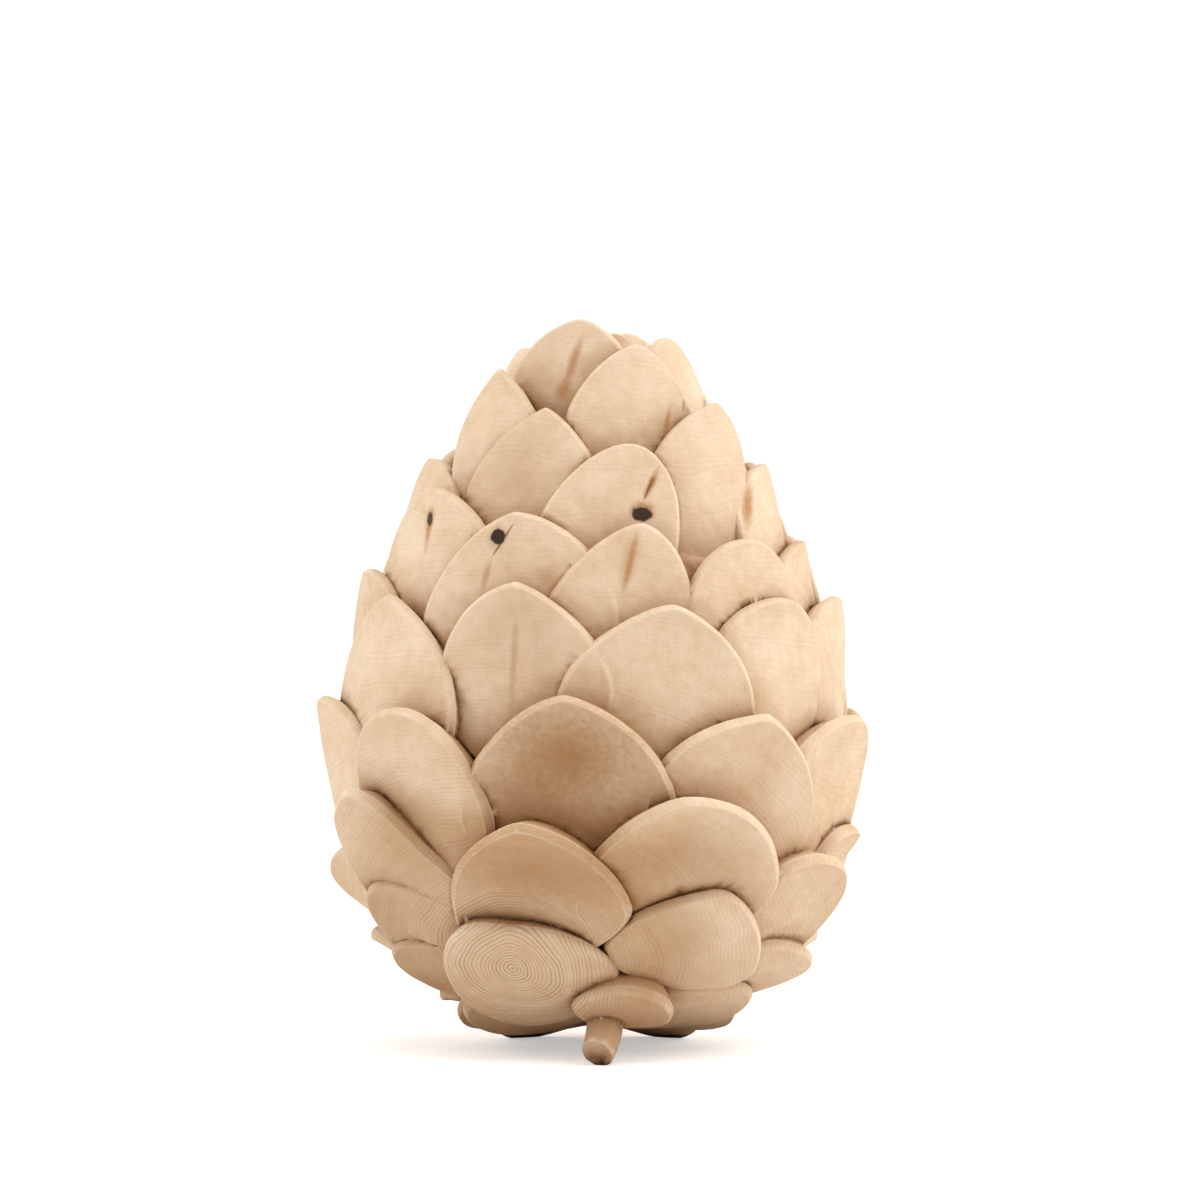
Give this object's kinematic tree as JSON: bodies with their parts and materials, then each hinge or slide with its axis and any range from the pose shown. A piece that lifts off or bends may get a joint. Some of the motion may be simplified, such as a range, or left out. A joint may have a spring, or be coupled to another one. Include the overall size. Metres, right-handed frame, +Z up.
{
  "type": "carved wooden pine cone",
  "caption": "Hand-carved pale pine wood cone with overlapping rounded scales and a short stem stub, standing upright.",
  "frame": {"origin": "on the floor, at the middle of the cone's outer box", "axes": "+Z up along the cone to its tip, -Y to the front where the stem's end shows, +X to the viewer's right"},
  "size_m": [0.1454, 0.1508, 0.1965],
  "materials": {
    "stone_pine_wood": "raw, fine-sanded, matte"
  },
  "bodies": {
    "root": {"carved_cone": "stone_pine_wood"}
  },
  "joints": []
}
